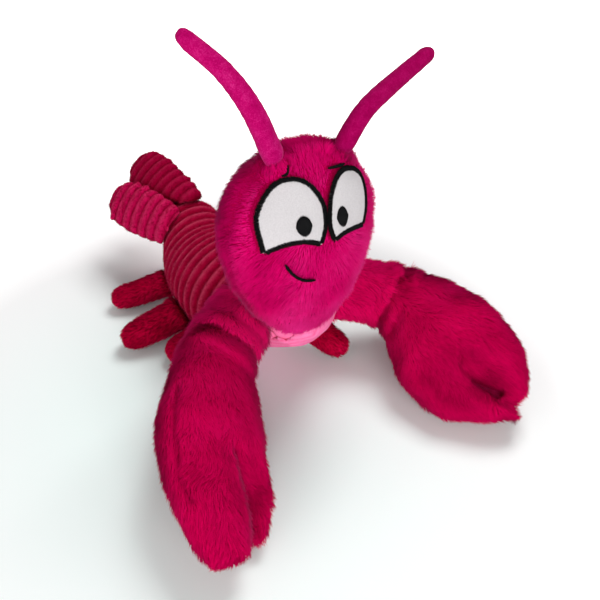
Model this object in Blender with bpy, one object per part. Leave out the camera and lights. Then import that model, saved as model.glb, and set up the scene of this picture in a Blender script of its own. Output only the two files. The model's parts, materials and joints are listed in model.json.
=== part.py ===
"""Plush lobster, modelled at its real size in metres, +Z up, lying on the floor at z = 0.
The lobster faces -Y, and its own left side is +X. Every stuffed piece is one closed solid."""

import math

import bmesh
import bpy
import numpy as np
from mathutils import Matrix, Vector

# Driving dimensions in metres and degrees
SEAM_GAP = 0.0004           # clearance kept between two sewn pieces

BODY_RADII = (0.036, 0.043, 0.0385, 0.027)          # neck, shoulder, waist, rear end
BODY_YS = (-0.008, 0.045, 0.100, 0.140)             # where those radii are measured
BODY_XS = (0.014, -0.003, -0.004, 0.000)            # slight bend of the spine
BODY_LIFTS = (0.032, 0.005, -0.001, 0.022)          # underside above the floor
BELLY_WIDTH_SHARE = 0.85    # radius of the belly panel's outline against the body's radius
BELLY_LOWERING = 0.95       # how far that outline lies under the body, against its radius
BELLY_FRONT = 0.010         # how far it runs on past the neck
BELLY_FRONT_RISE = 0.016    # how much higher it reaches under the chin
BELLY_THICKNESS = 0.0022    # cloth and its pile

HEAD_CENTRE = (0.008, -0.031, 0.135)
HEAD_HALF = (0.057, 0.038, 0.072)                   # half width, half depth, half height
HEAD_CROWN_WIDENING = 0.24  # how much wider the crown is than the chin
HEAD_TILT = (-5.0, 4.0, 4.0)                        # degrees: face tipped up, head tipped sideways, turn

FACE_DRAWN_ON = (0.057, 0.072)                      # half width and half height that the face is drawn on

# Points on the face are (across, up) in the head's own axes, and stretch with the head
# An eye runs round from its right lower corner over the top to its left one, then along the bottom
EYE_TOPS = {"right": ((-0.0084, 0.0172), (-0.0052, 0.0252), (-0.0043, 0.0321), (-0.0043, 0.0390),
                      (-0.0070, 0.0462), (-0.0120, 0.0526), (-0.0198, 0.0553), (-0.0288, 0.0537),
                      (-0.0369, 0.0469), (-0.0433, 0.0348), (-0.0418, 0.0157)),
            "left": ((0.0263, 0.0194), (0.0296, 0.0265), (0.0312, 0.0332), (0.0318, 0.0400),
                     (0.0305, 0.0472), (0.0249, 0.0522), (0.0165, 0.0538), (0.0091, 0.0505),
                     (0.0038, 0.0439), (0.0008, 0.0358), (-0.0005, 0.0255), (0.0021, 0.0170))}
EYE_BOTTOMS = {"right": ((-0.0359, 0.0185), (-0.0280, 0.0206), (-0.0181, 0.0204)),
               "left": ((0.0086, 0.0193), (0.0167, 0.0201))}
EYE_CENTRES = {"right": (-0.0240, 0.0350), "left": (0.0155, 0.0350)}
PUPIL_CENTRES = {"right": (-0.0186, 0.0297), "left": (0.0094, 0.0297)}
PUPIL_HALF = (0.0047, 0.0062)
EYE_THICKNESS = 0.0012
PUPIL_THICKNESS = 0.0010
SATIN_WIDTH = 0.0032        # black stitched outline round each eye
THIN_STITCH_WIDTH = 0.0021
STITCH_HEIGHT_SHARE = 0.64  # height of a row of stitches against its width
STITCH_END_SHARE = 0.55     # how thin a thin line ends, against its width
BROW_RIGHT = ((-0.0243, 0.0575), (-0.0212, 0.0585), (-0.0187, 0.0622))
BROW_LEFT = ((0.0060, 0.0574), (0.0125, 0.0570), (0.0190, 0.0568))
MOUTH = ((-0.0308, 0.0063), (-0.0268, -0.0003), (-0.0221, -0.0047), (-0.0178, -0.0068), (-0.0122, -0.0076))

ANTENNA_ROOTS = {"right": (-0.0225, 0.0650), "left": (0.0250, 0.0622)}
ANTENNA_HALF = (0.0068, 0.0058)                     # half width and half thickness at the root
ANTENNA_TIP_SHARE = 0.74
ANTENNA_ENDS = (0.003, 0.006)                       # depth of the round ends, root and tip
ANTENNA_BENDS = {"right": ((-0.0262, -0.0404, 0.2389), (-0.0377, -0.0299, 0.2607)),
                 "left": ((0.0498, -0.0395, 0.2211), (0.0778, -0.0304, 0.2305))}
ANTENNA_TIPS = {"right": (-0.0539, -0.0180, 0.2787), "left": (0.1113, -0.0204, 0.2399)}

ARM_RADII = (0.0240, 0.0265, 0.0255)                # shoulder, middle, wrist
ARM_SHOULDER = {"right": (-0.012, 0.006, 0.060), "left": (0.040, 0.006, 0.058)}
ARM_MIDDLE = {"right": (-0.031, -0.010, 0.063), "left": (0.078, -0.012, 0.052)}
WRIST = {"right": (-0.053, -0.027, 0.060), "left": (0.101, -0.026, 0.046)}

CLAW_PALM = {"right": (-0.080, -0.082, 0.0345), "left": (0.106, -0.086, 0.0348)}
CLAW_TIP = {"right": (-0.100, -0.152, 0.0205), "left": (0.124, -0.150, 0.0215)}
CLAW_ROLL = {"right": 40.0, "left": 30.0}           # degrees: the outer edge stands higher than the thumb
# Each row: distance from the wrist, middle of the width across the claw, half width, half thickness
CLAW_BASE = {"right": ((-0.010, 0.0000, 0.0190, 0.0170), (0.003, 0.0020, 0.0275, 0.0235),
                       (0.022, 0.0042, 0.0326, 0.0265), (0.050, 0.0051, 0.0400, 0.0278),
                       (0.070, 0.0045, 0.0405, 0.0265), (0.088, 0.0050, 0.0270, 0.0165)),
             "left": ((-0.008, 0.0040, 0.0180, 0.0170), (0.004, 0.0040, 0.0262, 0.0235),
                      (0.022, 0.0046, 0.0357, 0.0260), (0.048, 0.0036, 0.0438, 0.0270),
                      (0.066, 0.0005, 0.0445, 0.0262), (0.082, -0.0010, 0.0300, 0.0170))}
CLAW_FINGER = {"right": ((0.050, 0.0190, 0.0262, 0.0245), (0.070, 0.0192, 0.0267, 0.0235),
                         (0.095, 0.0173, 0.0258, 0.0210), (0.120, 0.0135, 0.0240, 0.0165),
                         (0.138, 0.0093, 0.0190, 0.0130)),
               "left": ((0.048, 0.0235, 0.0240, 0.0240), (0.065, 0.0229, 0.0238, 0.0225),
                        (0.080, 0.0205, 0.0229, 0.0210), (0.095, 0.0173, 0.0194, 0.0190),
                        (0.106, 0.0128, 0.0145, 0.0165), (0.114, 0.0082, 0.0098, 0.0130))}
CLAW_THUMB = {"right": ((0.050, -0.0213, 0.0113, 0.0190), (0.070, -0.0227, 0.0120, 0.0182),
                        (0.092, -0.0229, 0.0112, 0.0165), (0.110, -0.0215, 0.0090, 0.0145),
                        (0.124, -0.0190, 0.0068, 0.0110)),
              "left": ((0.048, -0.0230, 0.0200, 0.0220), (0.065, -0.0230, 0.0212, 0.0215),
                       (0.080, -0.0245, 0.0207, 0.0200), (0.095, -0.0202, 0.0171, 0.0185),
                       (0.106, -0.0158, 0.0131, 0.0166), (0.116, -0.0118, 0.0092, 0.0140),
                       (0.124, -0.0085, 0.0060, 0.0100))}
# Depths of the round ends
CLAW_ENDS = {"palm": (0.006, 0.008), "finger": (0.012, 0.010), "thumb": (0.012, 0.007)}
CLAW_LEAD = 0.02            # how far a claw's middle line starts before the wrist
CLAW_RUNOUT = 0.3           # how far it runs on past the tip, against its length from the palm

LEG_RADII = {"front": (0.0130, 0.0130, 0.0120), "middle": (0.0150, 0.0150, 0.0132),
             "rear": (0.0125, 0.0130, 0.0118)}      # root, middle, tip
LEG_ROOTS = {"rear_right": (-0.024, 0.112, 0.022), "middle_right": (-0.028, 0.066, 0.028),
             "front_right": (-0.026, 0.033, 0.026), "front_left": (0.034, 0.010, 0.026),
             "middle_left": (0.024, 0.066, 0.026), "rear_left": (0.022, 0.112, 0.022)}
LEG_TIPS = {"rear_right": (-0.074, 0.126, 0.0108), "middle_right": (-0.083, 0.072, 0.0124),
            "front_right": (-0.059, 0.041, 0.0113), "front_left": (0.052, -0.016, 0.0112),
            "middle_left": (0.080, 0.070, 0.0124), "rear_left": (0.074, 0.126, 0.0108)}

LOBE_HALF = (0.0215, 0.0088)                        # half width and half thickness
LOBE_WALE = 0.0105          # one raised rib of the cloth
LOBE_SCALLOP = 0.0012       # how far each rib stands out at the edge
LOBE_CREST_SHARE = 0.6      # how far it stands out of the flat sides, against the edge
LOBE_WIDTHS = (0.80, 0.98, 1.06, 1.08, 0.90)        # shares of the half width, root to tip
LOBE_THICKS = (1.0, 1.0, 0.95, 0.78)                # shares of the half thickness, root to tip
LOBE_ENDS = (0.006, 0.009)                          # depth of the round ends, root and tip
# Places of the lobes, measured from the middle of the body's rear end
LOBE_ROOTS = {"right": (-0.022, -0.010, 0.015), "left": (-0.001, -0.001, 0.022)}
LOBE_TIPS = {"right": (-0.0454, 0.0596, 0.0133), "left": (-0.0145, 0.081, 0.029)}
LOBE_FACES = (-0.410, -0.709, 0.574)                # the flat side of both lobes looks this way

SIDES = ("right", "left")
SIDES_ROUND = 24            # corners round a large stuffed piece
SIDES_SLIM = 14             # corners round a leg or an antenna
SIDES_ARM = 18
SIDES_CLAW = 20
SIDES_LOBE = 18


def finish(name, colour, roughness):
    """A Principled BSDF in the part's colour."""
    material = bpy.data.materials.new(name)
    material.use_nodes = True
    shader = material.node_tree.nodes["Principled BSDF"]
    shader.inputs["Base Color"].default_value = (*colour, 1.0)
    shader.inputs["Roughness"].default_value = roughness
    shader.inputs["Metallic"].default_value = 0.0
    return material


def add_object(name, bm, material):
    bmesh.ops.recalc_face_normals(bm, faces=bm.faces)
    mesh = bpy.data.meshes.new(name)
    bm.to_mesh(mesh)
    bm.free()
    mesh.shade_smooth()
    mesh.materials.append(material)
    obj = bpy.data.objects.new(name, mesh)
    bpy.context.scene.collection.objects.link(obj)
    return obj


def through(points, count):
    """Evenly numbered places on a smooth curve through the given points (Catmull-Rom)."""
    points = np.array(points, float)
    padded = np.vstack([2 * points[0] - points[1], points, 2 * points[-1] - points[-2]])
    places = []
    for t in np.linspace(0, len(points) - 1, count):
        i = min(int(t), len(points) - 2)
        u = t - i
        a, b, c, d = padded[i : i + 4]
        places.append(0.5 * (2 * b + (c - a) * u + (2 * a - 5 * b + 4 * c - d) * u**2
                             + (3 * b - a - 3 * c + d) * u**3))
    return np.array(places)


def frame_at(centre, forward, across):
    """A matrix whose Z runs forward and whose X runs across the piece."""
    z = Vector(forward).normalized()
    y = z.cross(Vector(across)).normalized()
    x = y.cross(z)
    return Matrix.Translation(centre) @ Matrix((x, y, z)).transposed().to_4x4()


def stuffed(name, sections, sides, material):
    """A closed form over sections of (matrix, half width, half thickness), from pole to pole.
    The first and the last section are points."""
    bm = bmesh.new()
    bmesh.ops.create_uvsphere(bm, u_segments=sides, v_segments=len(sections) - 1, radius=1)
    step = math.pi / (len(sections) - 1)
    for vert in bm.verts:
        matrix, wide, thick = sections[round((math.asin(max(-1, min(1, vert.co.z))) + math.pi / 2) / step)]
        angle = math.atan2(vert.co.y, vert.co.x)
        vert.co = matrix @ Vector((wide * math.cos(angle), thick * math.sin(angle), 0))
    return add_object(name, bm, material)


def round_ends(centres, widths, thicks, across, start, end, rings=3):
    """Sections along the centres, closed at both ends by domes of the given depths."""
    centres = [Vector(c) for c in centres]
    ways = [centres[min(i + 1, len(centres) - 1)] - centres[max(i - 1, 0)] for i in range(len(centres))]
    sections = []
    for i in range(rings):
        lat = math.pi / 2 * i / rings
        place = centres[0] - ways[0].normalized() * start * math.cos(lat)
        share = math.sin(lat)
        sections.append((frame_at(place, ways[0], across), widths[0] * share, thicks[0] * share))
    for centre, way, wide, thick in zip(centres, ways, widths, thicks, strict=True):
        sections.append((frame_at(centre, way, across), wide, thick))
    for i in reversed(range(rings)):
        lat = math.pi / 2 * i / rings
        place = centres[-1] + ways[-1].normalized() * end * math.cos(lat)
        share = math.sin(lat)
        sections.append((frame_at(place, ways[-1], across), widths[-1] * share, thicks[-1] * share))
    return sections


def tube(name, points, radii, sides, material, count, across=(0, 0, 1)):
    """A round stuffed tube through the points, with round ends."""
    centres = through(points, count)
    widths = through([[r] for r in radii], count)[:, 0]
    return stuffed(name, round_ends(centres, widths, widths, across, widths[0], widths[-1]), sides, material)


def settle(obj):
    """Makes the object's modifiers part of its mesh."""
    graph = bpy.context.evaluated_depsgraph_get()
    mesh = bpy.data.meshes.new_from_object(obj.evaluated_get(graph))
    obj.modifiers.clear()
    obj.data = mesh
    return obj


def swollen(host, by):
    """A copy of the host whose surface stands out by this much, or in if it is negative."""
    copy = bpy.data.objects.new(host.name + "_swollen", host.data.copy())
    bpy.context.scene.collection.objects.link(copy)
    displace = copy.modifiers.new("swell", "DISPLACE")
    displace.mid_level = 0.0
    displace.strength = by
    return settle(copy)


def boolean(obj, operation, other):
    """Joins, cuts or keeps the common part, and removes the other object."""
    modifier = obj.modifiers.new(operation.lower(), "BOOLEAN")
    modifier.operation = operation
    modifier.object = other
    modifier.solver = "EXACT"
    settle(obj)
    bpy.data.objects.remove(other)
    return obj


def copy_of(form, name, material):
    """A piece that starts as the same shape as a form."""
    piece = bpy.data.objects.new(name, form.data.copy())
    piece.data.materials.clear()
    piece.data.materials.append(material)
    bpy.context.scene.collection.objects.link(piece)
    return piece


def seat(piece, *forms):
    """Cuts the piece back where it meets each form, leaving the seam gap."""
    for form in forms:
        boolean(piece, "DIFFERENCE", swollen(form, SEAM_GAP))
    return piece


def flatten_on_floor(piece):
    """Cuts the piece level with the floor that it rests on."""
    bm = bmesh.new()
    bmesh.ops.create_cube(bm, size=1.0, matrix=Matrix.Translation((0, 0, -0.5)))
    floor = add_object("floor_cutter", bm, piece.data.materials[0])
    return boolean(piece, "DIFFERENCE", floor)


# Body and belly

def body_sections(lower=0.0, share=1.0, forward=0.0, rise=0.0):
    """Sections of the body, or of a copy of it that is lowered, narrowed, and longer and higher in front."""
    count = 13
    rows = [(x, y, r + lift, r) for x, y, lift, r in
            zip(BODY_XS, BODY_YS, BODY_LIFTS, BODY_RADII, strict=True)]
    rows = through(rows, count)
    rows[:, 2] += rise * np.linspace(1, 0, count) ** 2 - lower * rows[:, 3]
    radii = rows[:, 3] * share
    return round_ends(rows[:, :3], radii, radii, (1, 0, 0), radii[0] + forward, radii[-1], rings=4)


def make_body(form, head_form, cloth, belly_cloth):
    """The ribbed body, with its belly panel let into it by the thickness of the cloth."""
    sections = body_sections(BELLY_LOWERING, BELLY_WIDTH_SHARE, BELLY_FRONT, BELLY_FRONT_RISE)
    outline = stuffed("belly_outline", sections, SIDES_ROUND, cloth)
    body = copy_of(form, "body", cloth)
    boolean(body, "DIFFERENCE", swollen(outline, SEAM_GAP))
    boolean(body, "UNION", swollen(form, -BELLY_THICKNESS - SEAM_GAP))
    seat(body, head_form)
    panel = copy_of(form, "belly_panel", belly_cloth)
    boolean(panel, "INTERSECT", outline)
    boolean(panel, "DIFFERENCE", swollen(form, -BELLY_THICKNESS))
    flatten_on_floor(seat(panel, head_form))


# Head and face

def head_matrix():
    tip, side, turn = (math.radians(a) for a in HEAD_TILT)
    turned = Matrix.Rotation(turn, 4, "Z") @ Matrix.Rotation(tip, 4, "X") @ Matrix.Rotation(side, 4, "Y")
    return Matrix.Translation(HEAD_CENTRE) @ turned


def head_widths(up):
    """Half width and half depth of the head at this height over its middle."""
    level = max(-1.0, min(1.0, up / HEAD_HALF[2]))
    round_share = math.sqrt(1 - level * level)
    return HEAD_HALF[0] * round_share * (1 + HEAD_CROWN_WIDENING * level), HEAD_HALF[1] * round_share


def face_point(across, up, out=0.0):
    """The place on the front of the head at these face coordinates, raised by out."""

    def surface(x, z):
        wide, deep = head_widths(z)
        return Vector((x, -deep * math.sqrt(max(0.0, 1 - (x / wide) ** 2)), z))

    across *= HEAD_HALF[0] / FACE_DRAWN_ON[0]
    up *= HEAD_HALF[2] / FACE_DRAWN_ON[1]
    step = 0.0005
    here = surface(across, up)
    side = surface(across + step, up) - surface(across - step, up)
    rise = surface(across, up + step) - surface(across, up - step)
    normal = side.cross(rise).normalized()
    return head_matrix() @ (here + normal * out)


def head_sections(rings=16):
    sections = []
    for i in range(rings + 1):
        up = HEAD_HALF[2] * math.sin(math.pi * (i / rings - 0.5))
        sections.append((head_matrix() @ Matrix.Translation((0, 0, up)), *head_widths(up)))
    return sections


def eye_edge(side, inset=0.0):
    """Points round one eye, in face coordinates, drawn in from the edge by inset."""
    top = EYE_TOPS[side]
    bottom = through((top[-1], *EYE_BOTTOMS[side], top[0]), 13)
    points = [Vector(p) for p in (*through(top, 31), *bottom[1:-1])]
    inner = []
    for i, here in enumerate(points):
        before = (here - points[i - 1]).normalized()
        after = (points[(i + 1) % len(points)] - here).normalized()
        middle = (before + after).normalized()
        inward = Vector((-middle.y, middle.x))
        mitre = 1 / max(0.5, middle.dot(after))
        inner.append(tuple(here + inward * inset * mitre))
    return inner


def patch(name, edge, centre, low, high, material, rings=3):
    """A cloth patch that follows the face between two heights over it."""
    bm = bmesh.new()
    sheets = []
    for out in (low, high):
        middle = bm.verts.new(face_point(*centre, out))
        rows = []
        for ring in range(1, rings + 1):
            share = ring / rings
            rows.append([bm.verts.new(face_point(centre[0] + (x - centre[0]) * share,
                                                 centre[1] + (z - centre[1]) * share, out)) for x, z in edge])
        sheets.append((middle, rows))
    count = len(edge)
    for middle, rows in sheets:
        for i in range(count):
            j = (i + 1) % count
            bm.faces.new((middle, rows[0][i], rows[0][j]))
            for inner, outer in zip(rows, rows[1:], strict=False):
                bm.faces.new((inner[i], outer[i], outer[j], inner[j]))
    for i in range(count):
        j = (i + 1) % count
        below, above = sheets[0][1][-1], sheets[1][1][-1]
        bm.faces.new((below[i], above[i], above[j], below[j]))
    return add_object(name, bm, material)


def stitched_line(name, edge, width, material, closed=False):
    """A raised row of satin stitches that follows the face, as a flattened round cord."""
    bm = bmesh.new()
    corners = 6
    rise = width * STITCH_HEIGHT_SHARE / 2
    rings = []
    for i, (x, z) in enumerate(edge):
        before = edge[i - 1] if closed or i else edge[0]
        after = edge[(i + 1) % len(edge)] if closed or i + 1 < len(edge) else edge[-1]
        along = Vector((after[0] - before[0], after[1] - before[1])).normalized()
        normal = Vector((-along.y, along.x))
        taper = STITCH_END_SHARE if not closed and i in (0, len(edge) - 1) else 1.0
        ring = []
        for k in range(corners):
            angle = 2 * math.pi * k / corners
            shift = normal * math.cos(angle) * width / 2 * taper
            ring.append(bm.verts.new(face_point(x + shift.x, z + shift.y,
                                                SEAM_GAP + rise + rise * math.sin(angle) * taper)))
        rings.append(ring)
    pairs = zip(rings, rings[1:] + rings[:1], strict=True) if closed else zip(rings, rings[1:], strict=False)
    for a, b in pairs:
        for k in range(corners):
            bm.faces.new((a[k], b[k], b[(k + 1) % corners], a[(k + 1) % corners]))
    if not closed:
        bm.faces.new(rings[0])
        bm.faces.new(rings[-1])
    return add_object(name, bm, material)


def make_face(white, black):
    turns = [2 * math.pi * i / 20 for i in range(20)]
    for side in SIDES:
        patch("eye_white_" + side, eye_edge(side, SATIN_WIDTH / 2 + SEAM_GAP), EYE_CENTRES[side],
              SEAM_GAP, SEAM_GAP + EYE_THICKNESS, white)
        stitched_line("eye_outline_" + side, eye_edge(side), SATIN_WIDTH, black, closed=True)
        across, up = PUPIL_CENTRES[side]
        pupil = [(across + PUPIL_HALF[0] * math.cos(a), up + PUPIL_HALF[1] * math.sin(a)) for a in turns]
        low = EYE_THICKNESS + 2 * SEAM_GAP
        patch("pupil_" + side, pupil, PUPIL_CENTRES[side], low, low + PUPIL_THICKNESS, black, rings=2)
    stitched_line("brow_stitch_right", through(BROW_RIGHT, 7), THIN_STITCH_WIDTH, black)
    stitched_line("brow_stitch_left", through(BROW_LEFT, 8), THIN_STITCH_WIDTH, black)
    stitched_line("mouth_stitch", through(MOUTH, 12), THIN_STITCH_WIDTH, black)


def make_antenna(side, velour, head):
    """A slim flattened tube, sewn into the front of the crown."""
    root = face_point(*ANTENNA_ROOTS[side], -ANTENNA_HALF[1])
    centres = through([root, *ANTENNA_BENDS[side], ANTENNA_TIPS[side]], 11)
    shares = np.linspace(1.0, ANTENNA_TIP_SHARE, 11)
    widths, thicks = ANTENNA_HALF[0] * shares, ANTENNA_HALF[1] * shares
    sections = round_ends(centres, widths, thicks, (1, 0, 0), *ANTENNA_ENDS)
    return seat(stuffed("antenna_" + side, sections, SIDES_SLIM, velour), head)


# Arms, claws and legs

def arm_form(side, fur):
    points = (ARM_SHOULDER[side], ARM_MIDDLE[side], WRIST[side])
    return tube("arm_form_" + side, points, ARM_RADII, SIDES_ARM, fur, 7)


def claw_axes(side):
    """The middle line of a claw, and the direction across it to its outer edge."""
    wrist, palm, tip = (Vector(v[side]) for v in (WRIST, CLAW_PALM, CLAW_TIP))
    way = (tip - wrist).normalized()
    level = way.cross(Vector((0, 0, 1))).normalized()
    if level.x * WRIST[side][0] < 0:
        level = -level
    above = way.cross(level)
    if above.z < 0:
        above = -above
    roll = math.radians(CLAW_ROLL[side])
    middle = [Vector(row) for row in through((wrist, palm, tip), 41)]
    line = [wrist - way * CLAW_LEAD, *middle, tip + (tip - palm) * CLAW_RUNOUT]
    return line, level * math.cos(roll) + above * math.sin(roll)


def along(line, distance):
    """The place on the line at this distance from its second point, which is the wrist."""
    here = -(line[1] - line[0]).length
    for a, b in zip(line, line[1:], strict=False):
        step = (b - a).length
        if here + step >= distance:
            return a.lerp(b, (distance - here) / step)
        here += step
    return line[-1]


def claw_form(part, side, rows, fur):
    """Part of a claw over rows of (distance, middle, half width, half thickness)."""
    line, outward = claw_axes(side)
    rows = through(rows, 2 * len(rows))
    centres = [along(line, row[0]) + outward * row[1] for row in rows]
    sections = round_ends(centres, rows[:, 2], rows[:, 3], outward, *CLAW_ENDS[part])
    return stuffed(part + "_form_" + side, sections, SIDES_CLAW, fur)


def make_claw(side, palm_form, fur):
    """Palm, finger and thumb, joined into one mitten with a slit between finger and thumb."""
    claw = copy_of(palm_form, "claw_" + side, fur)
    boolean(claw, "UNION", claw_form("finger", side, CLAW_FINGER[side], fur))
    boolean(claw, "UNION", claw_form("thumb", side, CLAW_THUMB[side], fur))
    return flatten_on_floor(claw)


def make_leg(place, fur, hosts):
    root, tip = Vector(LEG_ROOTS[place]), Vector(LEG_TIPS[place])
    radii = LEG_RADII[place.split("_")[0]]
    leg = tube("leg_" + place, (root, root.lerp(tip, 0.5), tip), radii, SIDES_SLIM, fur, 5)
    return flatten_on_floor(seat(leg, *hosts))


# Tail

def lobe_form(side, cloth):
    """A flat padded lobe whose edge is scalloped by the ribs of its cloth."""
    rear = Vector((BODY_XS[-1], BODY_YS[-1], BODY_LIFTS[-1] + BODY_RADII[-1]))
    root, tip = rear + Vector(LOBE_ROOTS[side]), rear + Vector(LOBE_TIPS[side])
    way = (tip - root).normalized()
    across = Vector(LOBE_FACES).cross(way)
    count = 2 * round((tip - root).length / LOBE_WALE) + 1
    crests = LOBE_SCALLOP * np.where(np.arange(count) % 2, 1, -1)
    centres = [root.lerp(tip, share) for share in np.linspace(0, 1, count)]
    widths = LOBE_HALF[0] * through([[w] for w in LOBE_WIDTHS], count)[:, 0] + crests
    thicks = LOBE_HALF[1] * through([[t] for t in LOBE_THICKS], count)[:, 0] + crests * LOBE_CREST_SHARE
    sections = round_ends(centres, widths, thicks, across, *LOBE_ENDS)
    return stuffed("lobe_form_" + side, sections, SIDES_LOBE, cloth)


def centre_over_origin():
    """Moves the whole toy so that its box stands centred over the origin."""
    meshes = [obj.data for obj in bpy.context.scene.objects]
    places = np.array([vert.co for mesh in meshes for vert in mesh.vertices])
    middle = (places.min(axis=0) + places.max(axis=0)) / 2
    for mesh in meshes:
        mesh.transform(Matrix.Translation((-middle[0], -middle[1], 0)))


def main():
    for obj in list(bpy.data.objects):
        bpy.data.objects.remove(obj)
    fur = finish("magenta_fur", (0.60, 0.006, 0.11), 0.85)
    leg_fur = finish("crimson_fur", (0.42, 0.004, 0.05), 0.85)
    ribbed = finish("ribbed_plush", (0.50, 0.008, 0.075), 0.80)
    belly_cloth = finish("belly_plush", (0.86, 0.10, 0.28), 0.80)
    velour = finish("magenta_velour", (0.66, 0.006, 0.16), 0.80)
    white = finish("white_felt", (0.82, 0.80, 0.81), 0.90)
    black = finish("black_thread", (0.012, 0.012, 0.015), 0.45)

    # Whole forms, which the pieces start from and are cut by where they are sewn together
    body_form = stuffed("body_form", body_sections(), SIDES_ROUND, ribbed)
    head_form = stuffed("head_form", head_sections(), SIDES_ROUND, fur)
    arm_forms = {side: arm_form(side, fur) for side in SIDES}
    palm_forms = {side: claw_form("palm", side, CLAW_BASE[side], fur) for side in SIDES}
    lobe_forms = {side: lobe_form(side, ribbed) for side in SIDES}

    copy_of(head_form, "head", fur)
    make_face(white, black)
    make_body(body_form, head_form, ribbed, belly_cloth)
    for side in SIDES:
        make_antenna(side, velour, head_form)
        make_claw(side, palm_forms[side], fur)
        arm = copy_of(arm_forms[side], "upper_arm_" + side, fur)
        seat(arm, palm_forms[side], head_form, body_form)
    for place in LEG_ROOTS:
        make_leg(place, leg_fur, (body_form, *arm_forms.values()))
    seat(copy_of(lobe_forms["right"], "tail_lobe_right", ribbed), body_form)
    seat(copy_of(lobe_forms["left"], "tail_lobe_left", ribbed), body_form, lobe_forms["right"])

    for form in (body_form, head_form, *arm_forms.values(), *palm_forms.values(), *lobe_forms.values()):
        bpy.data.objects.remove(form)
    centre_over_origin()


main()
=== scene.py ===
import json
import math

import bmesh
import bpy
import numpy as np
from mathutils import Matrix, Vector
from mathutils.bvhtree import BVHTree
from mathutils.kdtree import KDTree

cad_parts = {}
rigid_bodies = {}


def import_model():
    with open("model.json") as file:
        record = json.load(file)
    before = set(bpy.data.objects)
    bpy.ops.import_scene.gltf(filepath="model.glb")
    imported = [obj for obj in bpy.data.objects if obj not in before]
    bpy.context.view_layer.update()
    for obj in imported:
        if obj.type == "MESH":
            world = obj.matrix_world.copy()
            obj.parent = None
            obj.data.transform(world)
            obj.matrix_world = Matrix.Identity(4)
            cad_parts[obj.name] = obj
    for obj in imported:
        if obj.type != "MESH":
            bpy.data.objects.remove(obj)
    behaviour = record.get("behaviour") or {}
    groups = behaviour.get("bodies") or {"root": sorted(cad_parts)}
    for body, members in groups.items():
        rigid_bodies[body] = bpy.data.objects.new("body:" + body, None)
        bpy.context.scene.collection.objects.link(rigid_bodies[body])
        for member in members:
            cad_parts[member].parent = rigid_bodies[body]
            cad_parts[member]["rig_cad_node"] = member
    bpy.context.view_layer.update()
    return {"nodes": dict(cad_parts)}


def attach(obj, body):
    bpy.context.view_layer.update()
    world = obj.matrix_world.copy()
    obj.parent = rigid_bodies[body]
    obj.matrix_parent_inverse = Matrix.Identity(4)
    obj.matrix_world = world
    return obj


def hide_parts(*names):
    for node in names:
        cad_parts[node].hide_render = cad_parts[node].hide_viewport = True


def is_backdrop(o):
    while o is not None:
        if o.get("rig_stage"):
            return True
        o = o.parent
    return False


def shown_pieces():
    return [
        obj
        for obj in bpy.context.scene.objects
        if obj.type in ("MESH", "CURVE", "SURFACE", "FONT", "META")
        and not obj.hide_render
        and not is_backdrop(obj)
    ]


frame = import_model()
scene = bpy.context.scene
bothSides = ("right", "left")

# Where the construction puts its drawing, measured from the middle of the finished toy's box
centring = Vector((-0.01179, -0.03540, 0.0))

# The camera, from the photograph's angle

cameraSet = {
    "place": Vector((-0.2008, -0.3919, 0.4189)) + centring,
    "azimuth": -30.0,
    "elevation": 35.0,
    "lens": 45.6,
    "shift": (0.005, -0.0833),
    "sensor": 36.0,
    "pixels": 600,
}


def setCamera(values):
    data = bpy.data.cameras.new("camera")
    data.lens = values["lens"]
    data.sensor_width = values["sensor"]
    data.shift_x, data.shift_y = values["shift"]
    data.clip_start = 0.01
    camera = bpy.data.objects.new("camera", data)
    camera.location = values["place"]
    camera.rotation_euler = (math.radians(90 - values["elevation"]), 0, math.radians(values["azimuth"]))
    scene.collection.objects.link(camera)
    scene.camera = camera


def pixelRay(x, y):
    # where the camera looks through a pixel of the photograph
    shiftX, shiftY = cameraSet["shift"]
    scale = cameraSet["sensor"] / cameraSet["lens"]
    across = x / cameraSet["pixels"] - 0.5 + shiftX
    up = 0.5 - y / cameraSet["pixels"] + shiftY
    turned = Matrix.Rotation(math.radians(cameraSet["azimuth"]), 3, "Z")
    raised = Matrix.Rotation(math.radians(90 - cameraSet["elevation"]), 3, "X")
    return turned @ raised @ Vector((across * scale, up * scale, -1))


# Shader maths: a wire is one socket, and its operators add Math nodes

class Wire:
    def __init__(self, paint, socket):
        self.paint = paint
        self.socket = socket

    def maths(self, operation, first, second):
        return self.paint.node("ShaderNodeMath", {"operation": operation}, first, second)

    def __add__(self, other):
        return self.maths("ADD", self, other)

    def __radd__(self, other):
        return self.maths("ADD", other, self)

    def __sub__(self, other):
        return self.maths("SUBTRACT", self, other)

    def __rsub__(self, other):
        return self.maths("SUBTRACT", other, self)

    def __mul__(self, other):
        return self.maths("MULTIPLY", self, other)

    def __rmul__(self, other):
        return self.maths("MULTIPLY", other, self)


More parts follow.
